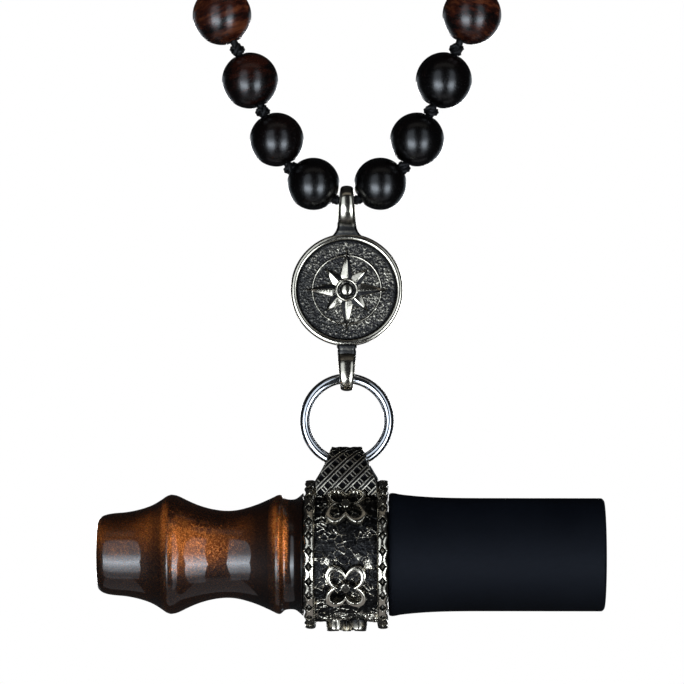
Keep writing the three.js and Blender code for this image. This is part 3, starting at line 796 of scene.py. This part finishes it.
def compass_rose(x, z):
    """Height and shine of a plain eight-rayed compass rose. Each ray has a painted bright half and a
    painted dark half, as light and shade on its two sides; the raised middle and band are polished.
    """
    height, polish_and_painted_shine = np.zeros_like(x), np.zeros_like(x)
    for i in (*range(1, STAR_RAYS, 2), *range(0, STAR_RAYS, 2)):
        angle = TAU * i / STAR_RAYS
        along = x * math.sin(angle) + z * math.cos(angle)
        side = x * math.cos(angle) - z * math.sin(angle)
        reach = STAR_SHORT if i % 2 else STAR_LONG
        width = STAR_WAIST_HALF * np.where(
            along < STAR_WAIST_AT, along / STAR_WAIST_AT, (reach - along) / (reach - STAR_WAIST_AT))
        inside = np.clip(1 - np.abs(side) / np.maximum(width, 1e-3), 0, 1) * (width > 0)
        ray = (STAR_EDGE_RISE + (STAR_RISE - STAR_EDGE_RISE) * inside) * smoothstep(0, 0.15, inside)
        crest = smoothstep(0.70, 0.92, inside) + (1 - smoothstep(0.05, 0.22, inside)) * (inside > 0)
        # Painted highlight on one half of each ray, on its crest and on its edges; the other half is left
        # dark as painted shade.
        painted_glint = np.maximum(0.75 * (side < 0), crest)
        over = ray > height
        polish_and_painted_shine = np.where(over, np.clip(0.12 + painted_glint, 0, 1), polish_and_painted_shine)
        height = np.maximum(height, ray)
    reach = np.hypot(x, z)
    boss = BOSS_RISE * np.sqrt(np.clip(1 - (reach / BOSS_R) ** 2, 0, 1))
    ring = 0.42 * np.exp(-((reach - 1.85) / 0.24) ** 4)
    band = 0.24 * np.exp(-((reach - 6.35) / 0.16) ** 4)
    middle = np.maximum(smoothstep(0.1, 0.3, ring), 0.9 * smoothstep(0.2, 0.5, boss))
    polish_and_painted_shine = np.where(reach < 2.15, middle, polish_and_painted_shine)
    height = np.maximum(height * smoothstep(1.9, 2.1, reach), np.maximum(boss, ring))
    polish_and_painted_shine = np.where(band > height, smoothstep(0.06, 0.16, band), polish_and_painted_shine)
    return np.maximum(height, band), polish_and_painted_shine


def medallion_disc(shell):
    rings = np.linspace(0.03, FIELD_R, 96)
    angle = angles_round(MEDALLION_STEPS_ROUND)
    x = np.outer(np.sin(angle), rings)
    z = np.outer(np.cos(angle), rings)
    spots = np.stack([x.ravel(), 0 * x.ravel(), z.ravel()], -1)
    stipple, grit, worn = (noise_at(spots, *kind).reshape(x.shape) for kind in FIELD_NOISES)
    star, polish_and_painted_shine = compass_rose(x, z)
    bare = 1 - smoothstep(0.02, 0.12, star)
    edge = smoothstep(FIELD_R - 0.5, FIELD_R, rings)[None, :]
    field = (0.10 * stipple + 0.05 * grit) * bare * (1 - edge)
    y = -MEDALLION_HALF + FIELD_DEPTH - star - field
    proud = 0.29 + 0.34 * smoothstep(-0.05, 0.6, stipple + 0.4 * worn + 0.02 * x) * bare * (1 - edge)
    proud = proud + 0.3 * grit * bare
    # Over the rays the metal takes the rose's painted highlight and shade.
    proud = proud + (1 - bare) * (polish_and_painted_shine - proud) - 0.2 * edge
    rim = np.array([*hermite(RIM_BEVEL, 0.08), *[(r, MEDALLION_HALF) for r in (9.6, 8.0, 4.0, 0.03)]])
    r, depth = rim.T
    outer = np.stack([np.outer(np.sin(angle), r), np.broadcast_to(depth, (len(angle), len(r))),
                      np.outer(np.cos(angle), r)], -1)
    grid = np.concatenate([np.stack([x, y, z], -1), outer], 1) + np.array((0, 0, MEDALLION_Z))
    polish = np.interp(np.arange(len(rim)), [0, 4, 8, len(rim)], [0.1, 0.6, 1.0, 0.8])
    proud = np.concatenate([proud, np.broadcast_to(polish, (len(angle), len(rim)))], 1)
    shell.add(grid, wrap_v=False, caps=True, proud=np.clip(proud, 0, 1))


def rounded(sides, power):
    """Cosines and sines round a section whose corners fill out as the power falls below one."""
    b = angles_round(sides)
    return [np.sign(wave) * np.abs(wave) ** power for wave in (np.cos(b), np.sin(b))]


def loop_grid(path, half_widths, thick, around=120, section=28):
    """A rounded band following a closed (y, z) path; its half-width along X depends on height."""
    smooth = hermite([*path, path[0]], 0.1)
    (y, z), _ = (a.T for a in evenly(smooth, around, closed=True))
    way = unit(np.stack([np.roll(y, -1) - np.roll(y, 1), np.roll(z, -1) - np.roll(z, 1)], -1))
    cos, sin = rounded(section, 0.9)
    x = np.outer(np.interp(z, *np.transpose(half_widths)), cos)
    off = np.outer(np.full(around, thick / 2), sin)
    return np.stack([x, y[:, None] + way[:, 1:] * off, z[:, None] - way[:, :1] * off], -1)


def block_grid(levels, section=40):
    """A rounded block lofted through (z, half_x, half_y) levels."""
    cos, sin = rounded(section, 0.45)
    z, half_x, half_y = np.transpose(levels)
    return np.stack([np.outer(cos, half_x), np.outer(sin, half_y),
                     np.broadcast_to(z, (section, len(z)))], -1)


# Each loop is a closed (y, z) path with (z, half-width) pairs; each neck is (z, half_x, half_y) levels.
UPPER_LOOP_PATH = [(0, 61.3), (-1.4, 61.9), (-2.25, 63.2), (-2.55, 64.9), (-2.2, 66.4), (-1.2, 67.35),
                   (0, 67.65), (1.2, 67.35), (2.2, 66.4), (2.55, 64.9), (2.25, 63.2), (1.4, 61.9)]
UPPER_LOOP_WIDTHS = [(60.5, 1.75), (62, 1.63), (64.5, 1.46), (66.5, 1.32), (67.6, 1.2), (68.4, 1.05)]
UPPER_NECK = [(58.4, 3.5, 1.2), (58.9, 2.9, 1.35), (59.3, 2.45, 1.5), (59.7, 2.15, 1.6), (60.1, 1.95, 1.6),
              (60.5, 1.82, 1.55), (60.8, 1.80, 1.62), (61.1, 1.78, 1.6), (61.5, 1.7, 1.4), (62.0, 1.6, 0.9)]
LOWER_LOOP_PATH = [(0, 30.82), (1.1, 31.15), (1.95, 32.0), (2.25, 33.2), (2.15, 34.6), (1.7, 35.9),
                   (0.9, 36.9), (0, 37.2), (-0.9, 36.9), (-1.7, 35.9), (-2.15, 34.6), (-2.25, 33.2),
                   (-1.95, 32.0), (-1.1, 31.15)]
LOWER_LOOP_WIDTHS = [(30.2, 1.0), (31.0, 1.22), (33, 1.38), (35, 1.55), (37.4, 1.72)]
LOWER_NECK = [(36.3, 1.55, 0.9), (37.0, 1.7, 1.3), (37.7, 1.75, 1.5), (38.0, 1.62, 1.45), (38.3, 1.85, 1.6),
              (38.8, 1.9, 1.6), (39.2, 1.7, 1.35)]


def loop_polish(grid, low, high):
    return 0.35 + 0.65 * smoothstep(low, high, grid[..., 2])


def medallion(material):
    shell = Shell()
    medallion_disc(shell)
    upper = loop_grid(UPPER_LOOP_PATH, UPPER_LOOP_WIDTHS, 1.35)
    shell.add(upper, proud=loop_polish(upper, 61, 63))
    lower = loop_grid(LOWER_LOOP_PATH, LOWER_LOOP_WIDTHS, 1.15)
    shell.add(lower, proud=loop_polish(-lower, -37.5, -35))
    for levels in (UPPER_NECK, LOWER_NECK):
        block = block_grid(levels)
        # Bands of painted light and shade up each neck.
        shade = np.interp(np.arange(len(levels)), [0, 2, 3, 5, 7], [0.3, 0.25, 0.45, 0.2, 0.7])
        shell.add(block, wrap_v=False, caps=True, proud=shade[None])
    piece = shell.object("medallion_cast", material, sharp_deg=50)
    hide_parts("medallion")
    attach(piece, "medallion")


# ---- necklace

STRING_SECTION = 12
STRING_STEP = 0.0005
STRING_LAY = 0.0032
STRING_STRANDS = 3
# A knot's strand: its winding radius, how far it weaves, its own radius, and its stretch along the string.
KNOT = {"ring": 0.00072, "swell": 0.00030, "tube": 0.00042, "long": 2.2}
NAPE_KNOT = {"ring": 0.00115, "swell": 0.00045, "tube": 0.00060, "long": 4.0}
NAPE_TAIL = [(0.0010, -0.0004, -0.0012), (0.0017, 0.0006, -0.0040), (0.0030, 0.0010, -0.0075)]
KNOT_TILT = 0.4
FIRST_KNOT_SCALE = 0.72
BEAD_AROUND, BEAD_ALONG = 56, 34
BEAD_BORE_R = 1.05
BEAD_SINK = 0.42
# How much warm figure each bead near the medallion shows; the others' is drawn at random.
WARM_BEADS = {"left": (0.08, 0.30, 0.48, 1.0), "right": (0.05, 0.08, 0.12, 0.85)}


def turn_to(direction):
    return Vector(direction).to_track_quat("Z", "Y").to_matrix()


def tube_grid(line, at, radius, sides, strands=0, lay=1.0):
    """A tube along a line, kept from twisting; strands gives it that many twisted plies."""
    way = unit(np.gradient(line, axis=0))
    side = np.cross(way[0], (0, 1, 0))
    b = angles_round(sides)
    rows = []
    for i, (point, forward) in enumerate(zip(line, way)):
        side = unit(side - forward * np.dot(side, forward))
        up = np.cross(forward, side)
        plies = 0.09 * (np.cos(strands * b - TAU * at[i] / lay) - 1) if strands else 0 * b
        r = radius * (1 + plies)
        rows.append(point + np.outer(r * np.cos(b), side) + np.outer(r * np.sin(b), up))
    return np.stack(rows, 1)


def knot_grid(centre, direction, scale=1.0, shape=KNOT):
    """A round string knot: one closed strand that winds twice round while it weaves three times."""
    count, sides = 72, 9
    t = np.arange(count + 1) * TAU / count
    ring, swell = shape["ring"] * scale, shape["swell"] * scale
    flat = ring + swell * np.cos(3 * t)
    line = np.stack([flat * np.cos(2 * t), flat * np.sin(2 * t), swell * shape["long"] * np.sin(3 * t)], -1)
    way = np.gradient(line, axis=0)
    way[0] = way[-1] = line[1] - line[-2]
    way = unit(way)
    out = np.stack([np.cos(2 * t), np.sin(2 * t), 0 * t], -1)
    out = unit(out - way * np.sum(out * way, 1)[:, None])
    up = np.cross(way, out)
    b = angles_round(sides)
    r = shape["tube"] * scale * (0.93 + 0.17 * np.cos(3 * b[:, None] - 16 * t[None]))[..., None]
    grid = line[None] + r * (np.cos(b)[:, None, None] * out[None] + np.sin(b)[:, None, None] * up[None])
    turn = np.array(turn_to(direction))
    return grid[:, :-1] @ turn.T + np.array(centre)


def cord_and_knots(side_name, side, material):
    points = route(side)
    line = smooth_route(points)
    even, at = evenly(line, spacing=STRING_STEP)
    tube = tube_grid(even, at, STRING_D / 2, STRING_SECTION, STRING_STRANDS, STRING_LAY)
    shell = Shell().add(tube, wrap_v=False, caps=True)
    string = shell.object(f"string_{side_name}", material, in_mm=False, sharp_deg=80)
    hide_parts(f"cord_{side_name}")
    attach(string, "necklace")
    knots = Shell()
    rng = np.random.default_rng(31 if side_name == "left" else 32)
    for i in range(1, len(points) - 1):
        tilt = Vector(rng.uniform(-KNOT_TILT, KNOT_TILT, 3))
        direction = (points[i + 1] - points[i - 1]).normalized() + tilt
        knots.add(knot_grid(points[i], direction, FIRST_KNOT_SCALE if i == 1 else 1.0))
    tied = knots.object(f"string_knots_{side_name}", material, in_mm=False, sharp_deg=80)
    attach(tied, "necklace")


def bead_outline(radius):
    """(along, radius) from one end of the bore round the outside to the other, then back."""
    lean = math.asin((BEAD_BORE_R + BEAD_SINK) / radius)
    angles = np.linspace(lean, math.pi - lean, BEAD_ALONG)
    outside = [(-radius * math.cos(a), radius * math.sin(a)) for a in angles]
    end = -outside[0][0] - 0.8 * BEAD_SINK
    return np.array([(-end, BEAD_BORE_R), (-end - 0.12, BEAD_BORE_R + 0.16), *outside,
                     (end + 0.12, BEAD_BORE_R + 0.16), (end, BEAD_BORE_R), (0, BEAD_BORE_R)])


def bead(side_name, number, start, end, material):
    radius = BEAD_RADII_MM[min(number, len(BEAD_RADII_MM) - 1)]
    rng = np.random.default_rng(100 * number + (1 if side_name == "left" else 2))
    grid = turned_grid(bead_outline(radius), BEAD_AROUND)
    turn = np.array(turn_to(end - start)) @ np.array(Matrix.Rotation(math.radians(-90), 3, "Y"))
    points = grid.reshape(-1, 3)
    grain_turn = np.array(Matrix.Rotation(rng.uniform(0, TAU), 3, "X"))
    grain = points @ grain_turn.T + rng.uniform(-40, 40, 3)
    warm, drawn = WARM_BEADS[side_name], rng.uniform(0.0, 1.0) ** 2.2
    warmth = warm[number] if number < len(warm) else drawn
    at = points * MM @ turn.T + np.array((start + end) / 2)
    shell = Shell().add(at.reshape(grid.shape), grain=grain.reshape(grid.shape), warmth=warmth)
    name = f"bead_{side_name}_{number + 1:02d}"
    piece = shell.object(f"{name}_turned", material, in_mm=False, sharp_deg=60)
    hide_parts(name)
    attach(piece, "necklace")


def nape_knot(material):
    centre = centre_of("nape_knot")
    shell = Shell().add(knot_grid(centre, (1, 0, 0), shape=NAPE_KNOT))
    half_core = Vector((0.0023, 0, 0))
    core, at = evenly([centre - half_core, centre + half_core], spacing=STRING_STEP)
    shell.add(tube_grid(core, at, STRING_D * 0.6, STRING_SECTION), wrap_v=False, caps=True)
    for side in SIDES.values():
        tail = [centre + Vector((side * x, y, z)) for x, y, z in NAPE_TAIL]
        line, at = evenly(smooth_route(tail), spacing=STRING_STEP)
        grid = tube_grid(line, at, STRING_D / 2, STRING_SECTION, STRING_STRANDS, STRING_LAY)
        shell.add(grid, wrap_v=False, caps=True)
    piece = shell.object("nape_knot_tied", material, in_mm=False, sharp_deg=80)
    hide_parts("nape_knot")
    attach(piece, "necklace")


def necklace(string, wood):
    for side_name, side in SIDES.items():
        knots = route(side)[1:]
        for number in range(BEADS_PER_SIDE):
            bead(side_name, number, knots[number], knots[number + 1], wood)
        cord_and_knots(side_name, side, string)
    nape_knot(string)


# ---- stage and light

FLOOR_Z = -1.5
FLOOR_R = 6.0
FLOOR_SIDES = 96
ROOM_BELOW, ROOM_ABOVE = 0.03, 0.015
ROOM_COLOUR = (0.86, 0.92, 1.0, 1)
COOL = (0.84, 0.94, 1.05)
WARM = (1.0, 0.95, 0.88)
TABLE_COLOUR = (0.97, 0.95, 1.0)

# Two tall softboxes: the edges nearest the middle and farthest from it along X, in metres, and radiance.
SOFTBOXES = {"left": (-0.155, -0.79, 10.0), "right": (0.225, 0.68, 9.6)}
# Each bends once, at its brightest line. A leaf runs between two places in the YZ plane, in metres, and
# its brightness and its half width are given along it from the lower one, as shares of the whole.
SOFTBOX_LEAVES = {
    "lower": ((-0.342, -0.993), (-0.784, -0.301),
              [(0.0, 0.05), (0.23, 0.05), (0.42, 0.08), (0.56, 0.26), (0.70, 0.37), (0.84, 0.60),
               (1.0, 0.97)],
              [(0.0, 0.36), (0.42, 0.38), (0.56, 0.42), (0.70, 0.45), (0.85, 0.475), (1.0, 0.5)]),
    "upper": ((-0.784, -0.301), (-0.674, 0.698),
              [(0.0, 0.97), (0.09, 0.70), (0.22, 0.47), (0.35, 0.18), (0.46, 0.12), (0.94, 0.10),
               (1.0, 0.0)],
              [(0.0, 0.5), (0.25, 0.475), (0.5, 0.45), (0.75, 0.43), (0.9, 0.39), (1.0, 0.28)]),
}
PANEL_EDGE = 0.03
# The keys light only what is matt, so the pearl glows without a highlight: azimuth, height, radiance.
KEYS = {"right": (21, 12, 35.0), "left": (-38, 27, 8.7)}


def add_floor():
    n = Material("pale_floor")
    glow = n.noise(0.6, detail=2)
    n.shade(Base_Color=n.ramp(glow, (0.3, (0.90, 0.90, 0.90)), (0.7, (0.95, 0.95, 0.95))),
            Roughness=0.9, Emission_Color=(1, 1, 1, 1), Emission_Strength=0.8)
    ring = [(FLOOR_R * math.cos(a), FLOOR_R * math.sin(a), FLOOR_Z) for a in angles_round(FLOOR_SIDES)]
    floor = new_object("floor", ring, [list(range(FLOOR_SIDES))], n.material)
    floor.visible_glossy = False
    floor.visible_diffuse = False


def add_world():
    """White to the camera. To the pieces it is a dim room, a little lighter below than above."""
    world = bpy.data.worlds.new("studio")
    world.use_nodes = True
    n = Nodes(world.node_tree)
    n.tree.nodes.clear()
    height = n.add("SeparateXYZ", Vector=n.add("TexCoord").outputs["Generated"]).outputs["Z"]
    dim = n.add("MapRange", Value=height, From_Min=-1, From_Max=0.2, To_Min=ROOM_BELOW, To_Max=ROOM_ABOVE)
    felt = n.add("Background", Color=ROOM_COLOUR, Strength=dim.outputs[0])
    seen = n.add("Background", Color=(1, 1, 1, 1))
    camera_ray = n.add("LightPath").outputs["Is Camera Ray"]
    mix = n.fed(n.add("MixShader"), camera_ray, felt.outputs[0], seen.outputs[0])
    n.set(n.add("OutputWorld"), "Surface", mix)
    bpy.context.scene.world = world


def shape_panel(data, fall, half_width):
    """Brightness and half width along the panel, both from its foot; its sides fade over a short edge."""
    data.use_nodes = True
    n = Nodes(data.node_tree)
    place = n.add("SeparateXYZ", Vector=n.add("NewGeometry").outputs["Parametric"]).outputs
    off_centre = n.math("ABSOLUTE", n.math("SUBTRACT", place["X"], 0.5))
    inside = n.math("SUBTRACT", n.value_ramp(place["Y"], *half_width), off_centre)
    inside = n.math("MULTIPLY", inside, 1 / PANEL_EDGE, clamp=True)
    strength = n.math("MULTIPLY", n.value_ramp(place["Y"], *fall), inside)
    n.set(n.tree.nodes["Emission"], "Strength", strength)


def add_panel(name, centre, size, facing, radiance, colour=(1, 1, 1), shines=True, lights=True,
              fall=None, half_width=None):
    """A rectangular light, in metres round the pendant: X right, Y away from the lights' front, Z up.

    A panel that shines is seen in gloss; one that lights falls on what is matt.
    """
    data = bpy.data.lights.new(name, "AREA")
    data.shape = "RECTANGLE"
    data.size, data.size_y = size
    data.energy = radiance * size[0] * size[1] * math.pi
    data.color = colour
    if fall:
        shape_panel(data, fall, half_width)
    light = in_scene(name, data)
    turn = Matrix.Rotation(LIGHT_AZIMUTH, 3, "Z")
    light.location = PENDANT + turn @ Vector(centre)
    light.rotation_mode = "QUATERNION"
    light.rotation_quaternion = (turn @ -Vector(facing)).to_track_quat("Z", "Y")
    light.visible_camera = False
    light.visible_glossy = shines
    light.visible_diffuse = lights


def add_softboxes():
    for side, (near, far, radiance) in SOFTBOXES.items():
        for leaf, (low, high, fall, half_width) in SOFTBOX_LEAVES.items():
            foot, head = Vector((0, *low)), Vector((0, *high))
            along = (head - foot).normalized()
            facing = (Vector((0, 1, 0)) - along * along.y).normalized()
            centre = (foot + head) / 2 + Vector(((near + far) / 2, 0, 0))
            size = (abs(far - near), (head - foot).length)
            add_panel(f"softbox_{side}_{leaf}", centre, size, facing, radiance, COOL, lights=False,
                      fall=fall, half_width=half_width)


def toward(azimuth_deg, height_deg):
    azimuth, height = math.radians(azimuth_deg), math.radians(height_deg)
    level = math.cos(height)
    return Vector((math.sin(azimuth) * level, -math.cos(azimuth) * level, math.sin(height)))


def add_lights():
    """Softboxes and keys, a table below, the room over the top, and dim panels behind for the rims."""
    add_softboxes()
    for side, (azimuth, height, radiance) in KEYS.items():
        place = toward(azimuth, height)
        add_panel(f"key_{side}", place, (0.50, 0.06), -place, radiance, WARM, shines=False)
    table = Vector((0, -0.05, -0.9))
    add_panel("table", table, (1.0, 0.9), Vector((0, 0, 1)), 0.24, TABLE_COLOUR, lights=False)
    over = Vector((0, -0.45, 0.95))
    add_panel("over_room", over, (1.3, 0.30), -over, 0.2, WARM, lights=False)
    for side, sign in SIDES.items():
        back = Vector((sign * 0.35, 1.4, 0.0))
        add_panel(f"back_{side}", back, (0.35, 0.30), -back, 8.0)
    for side, sign in SIDES.items():
        rim = toward(sign * 146, -6) * 1.4
        add_panel(f"rim_{side}", rim, (0.70, 0.9), -rim, 0.5, COOL, lights=False)


# ---- build

add_camera()
necklace(waxed_string(), dark_wood())
silver = antique_silver()
mouth_body(pearl_lacquer())
liner_tube(liner_steel())
connector_sleeve(soft_touch_rubber())
collar(silver)
jump_ring(ring_steel())
medallion(silver)
add_floor()
add_world()
add_lights()
bpy.context.scene.view_settings.view_transform = "Standard"
